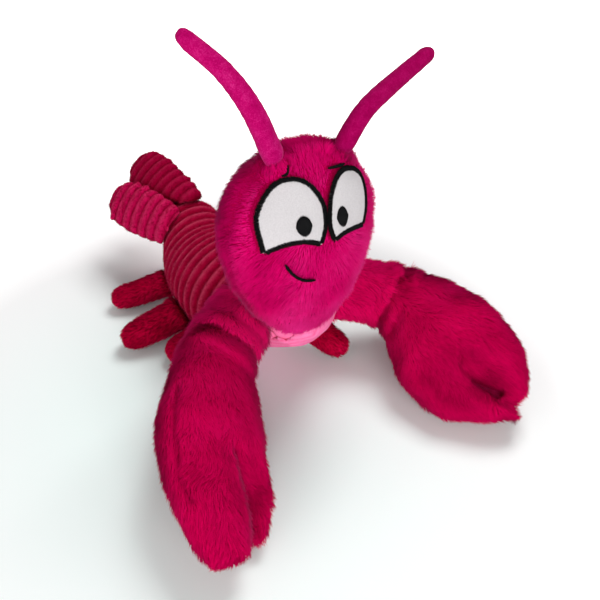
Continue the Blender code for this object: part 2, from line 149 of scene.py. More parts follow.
class Paint:
    # One material with its Principled shader
    def __init__(self, name, roughness, sheen=0.0, sheenTint=(1, 1, 1), sheenRoughness=0.5, specular=0.0):
        self.material = bpy.data.materials.new(name)
        self.material.use_nodes = True
        self.tree = self.material.node_tree
        self.shader = self.tree.nodes["Principled BSDF"]
        whole = {"Roughness": roughness, "Specular IOR Level": specular, "Sheen Weight": sheen,
                 "Sheen Roughness": sheenRoughness, "Sheen Tint": (*sheenTint, 1)}
        for name, value in whole.items():
            self.shader.inputs[name].default_value = value

    def put(self, socket, value):
        if isinstance(value, Wire):
            self.tree.links.new(value.socket, socket)
        elif isinstance(value, tuple) and socket.type == "RGBA":
            socket.default_value = (*value, 1)
        else:
            socket.default_value = value

    def node(self, kind, settings, *values, output=0, **named):
        made = self.tree.nodes.new(kind)
        for key, value in settings.items():
            if key == "stops":
                ramp = made.color_ramp
                while len(ramp.elements) < len(value):
                    ramp.elements.new(0.5)
                for element, (place, colour) in zip(ramp.elements, value, strict=True):
                    element.position = place
                    element.color = (*colour, 1)
            else:
                setattr(made, key, value)
        for socket, value in zip(made.inputs, values, strict=False):
            if value is not None:
                self.put(socket, value)
        for key, value in named.items():
            self.put(made.inputs[key], value)
        return Wire(self, made.outputs[output])

    def mix(self, share, first, second):
        # the five sockets between the share and the colours are for numbers and vectors
        return self.node("ShaderNodeMix", {"data_type": "RGBA"}, share, *[None] * 5, first, second, output=2)

    def ramp(self, wire, low, middle, high, at=0.5):
        stops = ((0.0, low), (at, middle), (1.0, high))
        return self.node("ShaderNodeValToRGB", {"stops": stops}, wire)

    def mark(self, name):
        # reads a value that the mesh holds for each of its points
        return self.node("ShaderNodeAttribute", {"attribute_name": name}, output="Fac")

    def places(self):
        return self.node("ShaderNodeTexCoord", {}, output="Object")

    def noise(self, size, detail=2.0, rough=0.5):
        return self.node("ShaderNodeTexNoise", {}, Vector=self.places(), Scale=1 / size, Detail=detail,
                         Roughness=rough, output="Fac")

    def spread(self, wire, low, high):
        # stretches low..high of the wire to 0..1
        return self.node("ShaderNodeMapRange", {}, wire, low, high, 0.0, 1.0)

    def colour(self, value):
        self.put(self.shader.inputs["Base Color"], value)

    def bump(self, height, strength, distance):
        normal = self.node("ShaderNodeBump", {}, Strength=strength, Distance=distance, Height=height,
                           output="Normal")
        self.put(self.shader.inputs["Normal"], normal)


# Meshes, masks and noise for many points at once

def unit(vectors):
    return vectors / np.maximum(np.linalg.norm(vectors, axis=-1, keepdims=True), 1e-12)


def ease(values, low, high):
    share = np.clip((values - low) / (high - low), 0, 1)
    return share * share * (3 - 2 * share)


def waves(points, size, seed, count=12):
    # smooth noise, mostly within -1 and 1, from sine waves about as long as size
    draw = np.random.default_rng(seed)
    ways = unit(draw.normal(size=(count, 3))) / (size * draw.uniform(0.6, 1.7, (count, 1)))
    return np.sin(2 * math.pi * (points @ ways.T + draw.uniform(0, 1, count))).sum(axis=1) / math.sqrt(count)


def waveVectors(points, size, seed):
    return np.stack([waves(points, size, seed + i) for i in range(3)], axis=1)


def readVectors(items, what):
    values = np.zeros(len(items) * 3)
    items.foreach_get(what, values)
    return values.reshape(-1, 3)


def readVerts(mesh):
    return readVectors(mesh.vertices, "co")


def vertNormals(mesh):
    return readVectors(mesh.vertex_normals, "vector")


def writeVerts(mesh, places):
    mesh.vertices.foreach_set("co", places.ravel())
    mesh.update()


def through(points, count):
    # places on a smooth curve through the points
    points = np.array(points, float)
    ends = np.vstack([2 * points[0] - points[1], points, 2 * points[-1] - points[-2]])
    places = []
    for t in np.linspace(0, len(points) - 1, count):
        i = min(int(t), len(points) - 2)
        u = t - i
        a, b, c, d = ends[i:i + 4]
        places.append(0.5 * (2 * b + (c - a) * u + (2 * a - 5 * b + 4 * c - d) * u ** 2
                             + (3 * b - a - 3 * c + d) * u ** 3))
    return np.array(places)


def lineDistance(points, line, closed=False):
    # distance of each point to a chain of straight pieces, in any number of dimensions
    starts = line if closed else line[:-1]
    ends = np.roll(line, -1, axis=0) if closed else line[1:]
    best = np.full(len(points), 1e9)
    for a, b in zip(starts, ends, strict=True):
        share = np.clip((points - a) @ (b - a) / max((b - a) @ (b - a), 1e-18), 0, 1)
        best = np.minimum(best, np.linalg.norm(points - a - share[:, None] * (b - a), axis=1))
    return best


def within(points, edge):
    # whether each flat point lies within the closed edge
    inside = np.zeros(len(points), bool)
    for (ax, ay), (bx, by) in zip(edge, np.roll(edge, -1, axis=0), strict=True):
        if ay != by:
            crosses = (ay > points[:, 1]) != (by > points[:, 1])
            inside ^= crosses & (points[:, 0] < (bx - ax) * (points[:, 1] - ay) / (by - ay) + ax)
    return inside


def toMesh(name, bm):
    mesh = bpy.data.meshes.new(name)
    bm.to_mesh(mesh)
    bm.free()
    return mesh


def meshTree(mesh):
    return BVHTree.FromPolygons([v.co for v in mesh.vertices], [p.vertices for p in mesh.polygons])


def newPiece(name, mesh, paint):
    piece = bpy.data.objects.new(name, mesh)
    scene.collection.objects.link(piece)
    mesh.materials.clear()
    mesh.materials.append(paint.material)
    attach(piece, "root")
    return piece


def applied(piece):
    graph = bpy.context.evaluated_depsgraph_get()
    mesh = bpy.data.meshes.new_from_object(piece.evaluated_get(graph))
    piece.modifiers.clear()
    piece.data = mesh
    return mesh


def addModifier(piece, kind, **settings):
    modifier = piece.modifiers.new(kind.lower(), kind)
    for key, value in settings.items():
        setattr(modifier, key, value)
    return modifier


# Stuffed skins: each starts a little inside its CAD solid and is blown up as cloth

stuffing = {"pressure": 4.0, "frames": 20, "cap": 0.0016}
lowestCloth = 0.0002
joinSet = {"short": 0.0003, "near": 0.002, "far": 0.008}
shells = []


def startShell(name, node, values):
    bm = bmesh.new()
    bm.from_mesh(frame["nodes"][node].data)
    bmesh.ops.remove_doubles(bm, verts=bm.verts, dist=0.000005)
    shell = bpy.data.objects.new(name, toMesh(name, bm))
    scene.collection.objects.link(shell)
    addModifier(shell, "REMESH", mode="VOXEL", voxel_size=values["voxel"])
    addModifier(shell, "DISPLACE", strength=-values["inset"], mid_level=0.0)
    addModifier(shell, "SMOOTH", factor=0.5, iterations=values["smooth"])
    applied(shell)
    shell["levels"] = values["levels"]
    shells.append(shell)
    return shell


def startPair(name, node, values):
    return {side: startShell(name + side, node + side, values) for side in bothSides}


def stuffShells(values):
    before = {shell.name: readVerts(shell.data) for shell in shells}
    for shell in shells:
        cloth = addModifier(shell, "CLOTH").settings
        cloth.use_pressure = True
        cloth.uniform_pressure_force = values["pressure"]
        cloth.effector_weights.gravity = 0
    for step in range(1, values["frames"] + 1):
        scene.frame_set(step)
    for shell in shells:
        mesh = applied(shell)
        moved = readVerts(mesh) - before[shell.name]
        length = np.linalg.norm(moved, axis=1, keepdims=True)
        moved *= np.minimum(1, values["cap"] / np.maximum(length, 1e-9))
        writeVerts(mesh, before[shell.name] + moved)
    scene.frame_set(1)
    for shell in shells:
        if shell["levels"]:
            addModifier(shell, "SUBSURF", levels=shell["levels"], render_levels=shell["levels"])
        applied(shell).shade_smooth()
        # a push of nothing lifts what has sunk into the floor
        pushSkin(shell, lambda places, normals: 0.0)


def pushSkin(skin, change):
    # moves each point of a skin along its normal by change(places, normals)
    places, normals = readVerts(skin.data), vertNormals(skin.data)
    places += normals * np.reshape(change(places, normals), (-1, 1))
    places[:, 2] = np.maximum(places[:, 2], lowestCloth)
    writeVerts(skin.data, places)


def closeJoin(skin, inset, neighbours):
    # near the pieces it is sewn to a skin comes out again to its CAD solid's surface
    trees = [meshTree(frame["nodes"][name].data) for name in neighbours]

    def back(places, normals):
        away = np.array([min(tree.find_nearest(place)[3] for tree in trees) for place in places])
        return (inset - joinSet["short"]) * (1 - ease(away, inset + joinSet["near"], inset + joinSet["far"]))

    pushSkin(skin, back)


# Painted shade and highlight reach less far from the middle of a furrow than its depth, and short pile less
# far still

furrowSet = {"tone": 0.9, "pile": 0.7, "shorter": 0.45, "deepest": 0.001, "smooth": 5}


def skinMarks(skin, marks):
    # furrows and ridges under chains of pixels: (line on the skin, half width, depth, tone), where a tone
    # below nought is painted shade and above nought a painted highlight
    tree = meshTree(skin.data)
    found = []
    for pixels, width, depth, tone in marks:
        hits = [tree.ray_cast(cameraSet["place"], pixelRay(x, y))[0] for x, y in pixels]
        if None in hits:
            print("no skin under", skin.name, pixels)
            continue
        found.append((through(hits, furrowSet["smooth"] * len(hits)), width, depth, tone))

    def dent(places, normals):
        return sum(-depth * (1 - ease(lineDistance(places, line), 0, width))
                   for line, width, depth, tone in found)

    pushSkin(skin, dent)
    return found


def markShadeAndHighlight(roots, found):
    # painted shade along the furrows and a painted highlight along the ridge
    return sum(tone * (1 - ease(lineDistance(roots, line), 0, width * furrowSet["tone"]))
               for line, width, depth, tone in found)


def markReach(roots, found):
    # pile is shorter down in a deep furrow
    return 1 - sum(furrowSet["shorter"] * (1 - ease(lineDistance(roots, line), 0, width * furrowSet["pile"]))
                   for line, width, depth, tone in found if depth > furrowSet["deepest"])


def dressSkin(skin, node, paint):
    skin.data.materials.clear()
    skin.data.materials.append(paint.material)
    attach(skin, "root")
    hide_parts(node)


# One mesh that holds many copies of a small pattern

lowestCopy = 0.0003
toneAcross = 0.04


def strandPattern():
    bm = bmesh.new()
    bmesh.ops.create_cone(bm, cap_ends=True, segments=3, radius1=0.5, radius2=0.0, depth=1.0,
                          matrix=Matrix.Translation((0, 0, 0.5)))
    bmesh.ops.remove_doubles(bm, verts=bm.verts, dist=0.001)
    return bm


def stitchPattern():
    bm = bmesh.new()
    bmesh.ops.create_uvsphere(bm, u_segments=6, v_segments=4, radius=0.5)
    return bm


def repeatPattern(name, pattern, places, axes, tones, paint, facing=None, soft=0.0):
    # axes holds the pattern's x, y and z for each copy; facing is the normal of the cloth below it
    bmesh.ops.triangulate(pattern, faces=pattern.faces)
    bmesh.ops.recalc_face_normals(pattern, faces=pattern.faces)
    pattern.normal_update()
    pattern.verts.index_update()
    corners = np.array([vert.co for vert in pattern.verts])
    turned = np.array([vert.normal for vert in pattern.verts])
    faces = np.array([[vert.index for vert in face.verts] for face in pattern.faces])
    pattern.free()
    count = len(places)
    spots = places[:, None, :] + np.einsum("kc,ncj->nkj", corners, axes)
    spots[..., 2] = np.maximum(spots[..., 2], lowestCopy)
    loops = (np.arange(count)[:, None, None] * len(corners) + faces).ravel()
    mesh = bpy.data.meshes.new(name)
    mesh.vertices.add(count * len(corners))
    mesh.loops.add(len(loops))
    mesh.polygons.add(len(loops) // 3)
    mesh.vertices.foreach_set("co", spots.ravel())
    mesh.loops.foreach_set("vertex_index", loops)
    mesh.polygons.foreach_set("loop_start", np.arange(0, len(loops), 3))
    mesh.update(calc_edges=True)
    # u is the tone of the copy and v runs from its root to its tip
    chart = np.empty((count, len(corners), 2))
    chart[..., 0] = np.clip(tones, 0.03, 0.97)[:, None] + toneAcross * corners[:, 0]
    chart[..., 1] = np.clip(corners[:, 2] - corners[:, 2].min(), 0.01, 0.99)
    layer = mesh.uv_layers.new(name="OFBake")
    layer.data.foreach_set("uv", chart.reshape(-1, 2)[loops].ravel())
    mesh.shade_smooth()
    if facing is not None:
        sides = unit(np.einsum("kc,ncj->nkj", turned, unit(axes)))
        blend = unit(facing[:, None, :] * soft + sides * (1 - soft))
        mesh.normals_split_custom_set_from_vertices(blend.reshape(-1, 3))
    return newPiece(name, mesh, paint)


# What all pile has in common: the ranges of length and width, and how strands differ in lean and tone
pileSet = {"shortest": 0.08, "lengths": (0.7, 1.2), "widths": (0.7, 1.25), "leanSwirl": 0.35,
           "leanDegrees": 7, "leanRange": (0.05, 1.3), "pulls": (0.5, 1.0), "aside": 0.15, "stretch": 1.25,
           "tuftTone": 0.6, "fewerUnder": 0.6, "underneath": (0.5, 0.9)}


def scatter(mesh, count, draw):
    # random places on a mesh, evenly by area but fewer underneath, with their normals
    mesh.calc_loop_triangles()
    triangles = np.zeros(len(mesh.loop_triangles) * 3, int)
    mesh.loop_triangles.foreach_get("vertices", triangles)
    triangles = triangles.reshape(-1, 3)
    places, normals = readVerts(mesh), vertNormals(mesh)
    a, b, c = (places[triangles[:, i]] for i in range(3))
    crosses = np.cross(b - a, c - a)
    areas = np.linalg.norm(crosses, axis=1)
    under = -crosses[:, 2] / np.maximum(areas, 1e-12)
    areas *= 1 - pileSet["fewerUnder"] * ease(under, *pileSet["underneath"])
    chosen = draw.choice(len(areas), count, p=areas / areas.sum())
    u, v = draw.random(count), draw.random(count)
    over = u + v > 1
    u[over], v[over] = 1 - u[over], 1 - v[over]
    shares = np.stack([1 - u - v, u, v], axis=1)[:, :, None]
    corners = triangles[chosen]
    return (places[corners] * shares).sum(axis=1), unit((normals[corners] * shares).sum(axis=1))


def growPile(name, skin, values, comb, tone, paint, reach=None):
    # strands over a skin: comb gives the way they lie, reach their share of full length
    draw = np.random.default_rng(values["seed"])
    roots, normals = scatter(skin.data, values["strands"], draw)
    if reach is not None:
        keep = reach(roots) > pileSet["shortest"]
        roots, normals = roots[keep], normals[keep]
    count = len(roots)
    lengths = values["length"] * draw.uniform(*pileSet["lengths"], count)
    if reach is not None:
        lengths *= reach(roots)
    swirl = waveVectors(roots, values["swirl"], values["seed"] + 7)
    ways = unit(comb(roots, normals)) + values["stray"] * swirl
    ways += draw.normal(size=(count, 3)) * values["fuzz"]
    ways = unit(ways - (ways * normals).sum(axis=1, keepdims=True) * normals)
    rise = 1 + pileSet["leanSwirl"] * waves(roots, values["swirl"] * 0.8, values["seed"] + 3)
    lean = np.radians(values["lean"] * rise + draw.normal(size=count) * pileSet["leanDegrees"])
    lean = np.clip(lean, *pileSet["leanRange"])
    tips = roots + (ways * np.cos(lean)[:, None] + normals * np.sin(lean)[:, None]) * lengths[:, None]
    # tufts: each strand's tip is drawn towards the tip of the nearest chosen strand
    chosen = draw.choice(count, max(8, int(count / values["tuft"])), replace=False)
    tree = KDTree(len(chosen))
    for i in chosen:
        tree.insert(roots[i], i)
    tree.balance()
    leader = np.array([tree.find(place)[1] for place in roots])
    pull = values["pull"] * draw.uniform(*pileSet["pulls"], count)[:, None]
    spread = roots - roots[leader]
    aim = tips[leader] + spread * pileSet["aside"]
    tips = tips * (1 - pull) + aim * pull
    ways = tips - roots
    reached = np.maximum(np.linalg.norm(ways, axis=1), 1e-9)
    ways *= np.minimum(1, values["length"] * pileSet["stretch"] / reached)[:, None]
    sides = unit(np.cross(ways, normals))
    above = unit(np.cross(ways, sides))
    wide = values["width"] * draw.uniform(*pileSet["widths"], count)[:, None]
    axes = np.stack([sides * wide, above * wide, ways], axis=1)
    tuftTone = draw.uniform(-1, 1, count)[leader]
    mottle = pileSet["tuftTone"] * tuftTone + draw.uniform(-1, 1, count)
    tones = tone(roots, normals) + values["mottle"] * mottle
    repeatPattern(name, strandPattern(), roots, axes, tones, paint, normals, values["soft"])


# Finishes: each colour is given from its darkest to its lightest

finishSet = {"furRootShade": 0.26, "furTone": 0.80, "furStart": -0.02, "furSheen": (1.0, 0.16, 0.45),
             "ribGrooveShade": 0.72, "ribPile": 0.26, "ribPatches": 0.14, "ribStart": -0.10, "ribMiddle": 0.55,
             "ribSheen": (1.0, 0.30, 0.42), "velourSheen": (1.0, 0.20, 0.5), "velourPile": 0.55,
             "velourPatches": 0.45, "lightCloth": (1.0, 0.20, 0.44)}


def furPaint(name, deep, middle, light, sheen):
    # each strand's own tone, with painted shade at its root that lightens towards its tip
    paint = Paint(name, 0.75, sheen, finishSet["furSheen"], 0.4)
    chart = paint.node("ShaderNodeUVMap", {"uv_map": "OFBake"})
    tone, along = (paint.node("ShaderNodeSeparateXYZ", {}, chart, output=axis) for axis in "XY")
    shade = along * finishSet["furRootShade"] + tone * finishSet["furTone"] + finishSet["furStart"]
    paint.colour(paint.ramp(shade, deep, middle, light))
    return paint


def skinPaint(name, deep, middle):
    paint = Paint(name, 0.9)
    cloth = paint.noise(0.0009, 3.0, 0.6)
    paint.colour(paint.mix(paint.spread(cloth, 0.35, 0.65), deep, middle))
    paint.bump(cloth, 0.6, 0.0006)
    return paint


def pilePaint(name, groove, middle, crest, fuzz, sheen):
    # short pile on ribs, which the mesh marks: crest on their tops, which also gives painted shade in the
    # grooves, rim on their rear edges, where a painted sheen lightens the pile, and light where the cloth is
    # as light as the belly's
    paint = Paint(name, 0.8, sheen, finishSet["ribSheen"], 0.28)
    pile = paint.noise(0.0011, 3.0, 0.65)
    patches = paint.noise(0.012, 2.0)
    # the crest mark lightens the rib tops and leaves painted shade in the grooves
    shade = (paint.mark("crest") * finishSet["ribGrooveShade"]
             + paint.spread(pile, 0.3, 0.7) * finishSet["ribPile"]
             + paint.spread(patches, 0.3, 0.7) * finishSet["ribPatches"] + finishSet["ribStart"])
    cloth = paint.ramp(shade, groove, middle, crest, finishSet["ribMiddle"])
    # painted sheen: the rear edge of each rib is lightened towards the fuzz colour
    cloth = paint.mix(paint.mark("rim") * paint.spread(pile, 0.1, 0.6), cloth, fuzz)
    paint.colour(paint.mix(paint.mark("light"), cloth, finishSet["lightCloth"]))
    paint.bump(pile, 0.55, 0.0007)
    return paint


def velourPaint(name, deep, middle, light):
    paint = Paint(name, 0.75, 0.25, finishSet["velourSheen"], 0.35)
    pile = paint.noise(0.0008, 3.0, 0.7)
    patches = paint.noise(0.006, 3.0, 0.65)
    shade = (paint.spread(pile, 0.3, 0.7) * finishSet["velourPile"]
             + paint.spread(patches, 0.25, 0.75) * finishSet["velourPatches"])
    paint.colour(paint.ramp(shade, deep, middle, light))
    paint.bump(pile, 0.5, 0.0005)
    return paint


def feltPaint(name):
    paint = Paint(name, 0.95, 0.1, (1, 1, 1), 0.5)
    fibres = paint.noise(0.0007, 4.0, 0.75)
    paint.colour(paint.mix(paint.spread(fibres, 0.35, 0.65), (0.53, 0.505, 0.515), (0.64, 0.615, 0.625)))
    paint.bump(fibres, 0.35, 0.0004)
    return paint


def threadPaint(name):
    paint = Paint(name, 0.6, specular=0.10)
    strands = paint.noise(0.0005, 2.0)
    paint.colour(paint.mix(paint.spread(strands, 0.3, 0.7), (0.0008, 0.0008, 0.001), (0.004, 0.004, 0.005)))
    return paint


headFur = furPaint("head_fur", (0.25, 0.0, 0.035), (0.70, 0.001, 0.135), (0.92, 0.030, 0.30), 0.20)
clawFur = furPaint("claw_fur", (0.24, 0.0, 0.028), (0.66, 0.0003, 0.085), (0.90, 0.006, 0.16), 0.14)
ribFur = furPaint("rib_fur", (0.10, 0.0, 0.008), (0.38, 0.001, 0.034), (0.70, 0.06, 0.13), 0.15)
legFur = furPaint("leg_fur", (0.15, 0.0, 0.010), (0.52, 0.0003, 0.036), (0.72, 0.004, 0.075), 0.12)
furSkin = skinPaint("fur_backing", (0.30, 0.0, 0.035), (0.52, 0.0005, 0.075))
legSkin = skinPaint("leg_backing", (0.12, 0.0, 0.010), (0.26, 0.0005, 0.02))
# for ribbed cloth the fourth colour is the painted sheen on the ribs' rear edges
ribPaint = pilePaint("ribbed_plush", (0.09, 0.0, 0.007), (0.32, 0.0005, 0.024), (0.46, 0.003, 0.050),
                     (0.62, 0.055, 0.13), 0.25)
# the far lobe's cloth is a darker copy of the near lobe's: painted shade
lobePaints = {"right": pilePaint("near_lobe_plush", (0.13, 0.0, 0.012), (0.52, 0.002, 0.065),
                                 (0.66, 0.010, 0.11), (0.66, 0.030, 0.13), 0.22),
              "left": pilePaint("far_lobe_plush_shaded", (0.08, 0.0, 0.007), (0.30, 0.0005, 0.026),
                                (0.42, 0.002, 0.05), (0.44, 0.012, 0.065), 0.16)}
bellyPaint = pilePaint("belly_plush", (0.92, 0.09, 0.26), (1.0, 0.18, 0.42), (1.0, 0.24, 0.50),
                       (1.0, 0.26, 0.52), 0.40)
velours = {"right": velourPaint("velour", (0.28, 0.001, 0.060), (0.44, 0.002, 0.112), (0.64, 0.026, 0.22)),
           "left": velourPaint("velour_shaded", (0.22, 0.0, 0.045), (0.32, 0.001, 0.075),
                               (0.46, 0.008, 0.13))}
felt = feltPaint("eye_felt")
thread = threadPaint("thread")
print("finishes mixed")

# Head, repeated from the construction's drawing: points on the face are (across, up)

headForm = {
    "centre": Vector((0.008, -0.031, 0.135)) + centring,
    "half": (0.057, 0.038, 0.072),
    "crownWidening": 0.24,
    "tilt": (-5.0, 4.0, 4.0),
}
eyeTops = {"right": ((-0.0084, 0.0172), (-0.0052, 0.0252), (-0.0043, 0.0321), (-0.0043, 0.0390),
                     (-0.0070, 0.0462), (-0.0120, 0.0526), (-0.0198, 0.0553), (-0.0288, 0.0537),
                     (-0.0369, 0.0469), (-0.0433, 0.0348), (-0.0418, 0.0157)),
           "left": ((0.0263, 0.0194), (0.0296, 0.0265), (0.0312, 0.0332), (0.0318, 0.0400),
                    (0.0305, 0.0472), (0.0249, 0.0522), (0.0165, 0.0538), (0.0091, 0.0505),
                    (0.0038, 0.0439), (0.0008, 0.0358), (-0.0005, 0.0255), (0.0021, 0.0170))}
eyeBottoms = {"right": ((-0.0359, 0.0185), (-0.0280, 0.0206), (-0.0181, 0.0204)),
              "left": ((0.0086, 0.0193), (0.0167, 0.0201))}
eyeCentres = {"right": (-0.0240, 0.0350), "left": (0.0155, 0.0350)}
pupilForm = {"right": (-0.0186, 0.0297), "left": (0.0082, 0.0297),
             "halfWidth": {"right": 0.0047, "left": 0.0040}, "halfHeight": 0.0062}
thinLines = {"brow_right": ((-0.0243, 0.0575), (-0.0212, 0.0585), (-0.0187, 0.0622)),
             "brow_left": ((0.0060, 0.0574), (0.0125, 0.0570), (0.0190, 0.0568)),
             "mouth": ((-0.0308, 0.0063), (-0.0268, -0.0003), (-0.0221, -0.0047), (-0.0178, -0.0068),
                       (-0.0122, -0.0076))}
stitchSet = {"satinWidth": 0.0039, "browWidth": 0.0020, "mouthWidth": 0.0021, "thread": 0.00066,
             "thick": 0.0017, "gap": 0.0004, "felt": 0.0012, "outward": 0.0005, "proud": 0.0002,
             "pupilProud": 0.0003, "spacing": 0.72, "pupilSpacing": 0.5, "pupilThread": 1.3, "slant": 0.25}
antennaRoots = ((-0.0225, 0.0650), (0.0250, 0.0622))
feltSet = {"grid": 56, "size": 0.024, "under": 0.0007, "puff": 0.0007, "puffWidth": 0.007}

tip, side, turn = (math.radians(angle) for angle in headForm["tilt"])
headMatrix = (Matrix.Translation(headForm["centre"]) @ Matrix.Rotation(turn, 4, "Z")
              @ Matrix.Rotation(tip, 4, "X") @ Matrix.Rotation(side, 4, "Y"))
headTurn = np.array(headMatrix.to_3x3())


def headLocal(places):
    return (places - np.array(headMatrix.translation)) @ headTurn


def headWorld(places):
    return places @ headTurn.T + np.array(headMatrix.translation)


def faceSurface(across, up):
    level = np.clip(up / headForm["half"][2], -1, 1)
    share = np.sqrt(1 - level ** 2)
    wide = headForm["half"][0] * share * (1 + headForm["crownWidening"] * level)
    deep = headForm["half"][1] * share
    return np.stack([across, -deep * np.sqrt(np.clip(1 - (across / wide) ** 2, 0, 1)), up], axis=-1)


def facePoints(flat, out=0.0):
    # places and normals on the front of the head, raised by out
    across, up = flat[:, 0], flat[:, 1]
    step = 0.0005  # how far to each side the slope is taken
    side = faceSurface(across + step, up) - faceSurface(across - step, up)
    rise = faceSurface(across, up + step) - faceSurface(across, up - step)
    normals = unit(np.cross(side, rise))
    return headWorld(faceSurface(across, up) + normals * np.reshape(out, (-1, 1))), normals @ headTurn.T


def eyeEdge(which):
    top = eyeTops[which]
    bottom = through((top[-1], *eyeBottoms[which], top[0]), 13)
    return np.vstack([through(top, 31), bottom[1:-1]])


eyeEdges = {which: eyeEdge(which) for which in bothSides}
thinEdges = {name: through(points, 14) for name, points in thinLines.items()}


def onFace(places):
    # distance outside the eye openings' edges, and from the thin lines, for places on the front
    flat = headLocal(places)
    front = flat[:, 1] < 0
    flat = flat[:, (0, 2)]
    eyes = np.full(len(flat), 1.0)
    for edge in eyeEdges.values():
        away = lineDistance(flat, edge, closed=True)
        eyes = np.minimum(eyes, np.where(within(flat, edge), -away, away))
    lines = np.full(len(flat), 1.0)
    for edge in thinEdges.values():
        lines = np.minimum(lines, lineDistance(flat, edge))
    return np.where(front, eyes, 1.0), np.where(front, lines, 1.0)


# Skins are started together, because one cloth run stuffs them all

headSet = {"inset": 0.0028, "voxel": 0.0042, "smooth": 4, "levels": 1}
bodySet = {"inset": 0.0012, "voxel": 0.0060, "smooth": 2, "levels": 2}
bellySet = {"inset": -0.0004, "voxel": 0.0015, "smooth": 1, "levels": 0, "share": 0.5}
armSet = {"inset": 0.0028, "voxel": 0.0036, "smooth": 4, "levels": 1}
clawSet = {**armSet, "smooth": 2}
legSet = {"inset": 0.0018, "voxel": 0.0036, "smooth": 4, "levels": 0}
lobeSet = {"inset": 0.0006, "voxel": 0.0050, "smooth": 1, "levels": 2}
slimSet = {"inset": -0.0003, "voxel": 0.0024, "smooth": 7, "levels": 1}

legPlaces = ("front_right", "middle_right", "rear_right", "front_left", "middle_left", "rear_left")
headSkin = startShell("head_skin", "head", headSet)
bodySkin = startShell("body_plush", "body", bodySet)
bellySkin = startShell("belly_plush_panel", "belly_panel", bellySet)
armSkins = startPair("arm_skin_", "upper_arm_", armSet)
clawSkins = startPair("claw_skin_", "claw_", clawSet)
legSkins = {place: startShell("leg_skin_" + place, "leg_" + place, legSet) for place in legPlaces}
lobeSkins = startPair("tail_plush_", "tail_lobe_", lobeSet)
antennaSkins = startPair("antenna_velour_", "antenna_", slimSet)
stuffShells(stuffing)
# The thin belly panel needs fine voxels to hold together, and then half of its faces are enough
addModifier(bellySkin, "DECIMATE", ratio=bellySet["share"])
applied(bellySkin).shade_smooth()
print("skins stuffed", {s.name: len(s.data.polygons) for s in shells})

# Head fur

headPile = {"strands": 47500, "length": 0.0076, "width": 0.00060, "lean": 21, "stray": 0.25, "swirl": 0.020,
             "fuzz": 0.12, "tuft": 12, "pull": 0.32, "soft": 0.82, "mottle": 0.065, "seed": 11}
# The seam between face panel and gusset lies this far behind the middle of the head
gussetSeam = {"back": -0.006, "width": 0.007, "depth": 0.0014}
# The tone of the head's pile, and how much lighter or darker it is on each part: painted shade on the gusset
# and on the left cheek, painted light on the chin and on the other cheek
headTones = {"face": 0.56, "gusset": -0.36, "chin": 0.20, "cheekLight": 0.17, "leftCheekShade": -0.24, "rim": 0.08,
             "crown": -0.10, "swirl": 0.08}
# Pile is short round the eyes and along the thin stitches and the seam
headReach = {"atEyes": 0.34, "eyesTo": (0.0025, 0.013), "bareEyes": 0.0022, "atLines": 0.3,
             "linesTo": (0.0008, 0.004), "bareLines": 0.0007, "seam": 0.35, "seamTo": 0.005, "antenna": 0.016,
             "antennaFrom": 0.004}
antennaEnds = facePoints(np.array(antennaRoots))[0]


def nearAntenna(places, reach):
    away = np.min([np.linalg.norm(places - end, axis=1) for end in antennaEnds], axis=0)
    return 1 - ease(away, reach * 0.6, reach)


def backFace(places, normals):
    # the cloth is padded out to meet the felt of the eyes and the thin stitches
    eyes, lines = onFace(places)
    near = np.maximum(1 - ease(eyes, -0.0005, 0.0030), 1 - ease(lines, 0.001, 0.003))
    seam = np.abs(headLocal(places)[:, 1] - gussetSeam["back"])
    return (headSet["inset"] - 0.0002) * near - gussetSeam["depth"] * (1 - ease(seam, 0, gussetSeam["width"]))


def combHead(roots, normals):
    # down and outwards from the forehead, and back over the crown
    local = headLocal(roots)
    crown = ease(local[:, 2], 0.045, 0.065)
    way = unit(np.stack([local[:, 0] * 1.1, 0.016 + 0.03 * crown, local[:, 2] - 0.036], axis=1)) @ headTurn.T
    for end in antennaEnds:
        # the pile closes over the root of each antenna
        inwards = end - roots
        away = np.linalg.norm(inwards, axis=1, keepdims=True)
        way = way + 3 * (1 - ease(away, 0.009, 0.016)) * unit(inwards)
    return way


def toneHead(roots, normals):
    local = headLocal(roots)
    gusset = ease(local[:, 1], gussetSeam["back"] - 0.006, gussetSeam["back"] + 0.002)
    front = 1 - gusset
    chin = (1 - ease(local[:, 2], -0.050, -0.020)) * front
    cheekLight = ease(local[:, 0], 0.012, 0.040) * (1 - ease(local[:, 2], 0.0, 0.030)) * front
    leftCheekShade = (1 - ease(local[:, 0], -0.042, -0.020)) * (1 - ease(local[:, 2], -0.005, 0.020)) * front
    rim = (1 - ease(np.abs(local[:, 1] - gussetSeam["back"] + 0.009), 0, 0.006)) * (local[:, 2] < 0.05)
    crown = ease(local[:, 2], 0.040, 0.062)
    # painted shade on the gusset and the left cheek; painted light on the chin and the other cheek
    shares = {"gusset": gusset, "chin": chin, "cheekLight": cheekLight, "leftCheekShade": leftCheekShade, "rim": rim,
              "crown": crown, "swirl": waves(roots, 0.026, 5)}
    return headTones["face"] + sum(headTones[name] * share for name, share in shares.items())


def reachHead(roots):
    form = headReach
    eyes, lines = onFace(roots)
    seam = 1 - ease(np.abs(headLocal(roots)[:, 1] - gussetSeam["back"]), 0, form["seamTo"])
    antenna = nearAntenna(roots, form["antenna"]) * (eyes > form["antennaFrom"])
    atEyes = form["atEyes"] + (1 - form["atEyes"]) * np.maximum(ease(eyes, *form["eyesTo"]), antenna)
    atLines = form["atLines"] + (1 - form["atLines"]) * ease(lines, *form["linesTo"])
    bare = (eyes <= form["bareEyes"]) | (lines <= form["bareLines"])
    return atEyes * atLines * (1 - form["seam"] * seam) * ~bare


pushSkin(headSkin, backFace)
closeJoin(headSkin, headSet["inset"], ("antenna_right", "antenna_left"))
dressSkin(headSkin, "head", furSkin)
growPile("head_fur_pile", headSkin, headPile, combHead, toneHead, headFur, reachHead)
print("head furred")

# Eyes, brows and mouth: felt with rows of stitches round it and on it

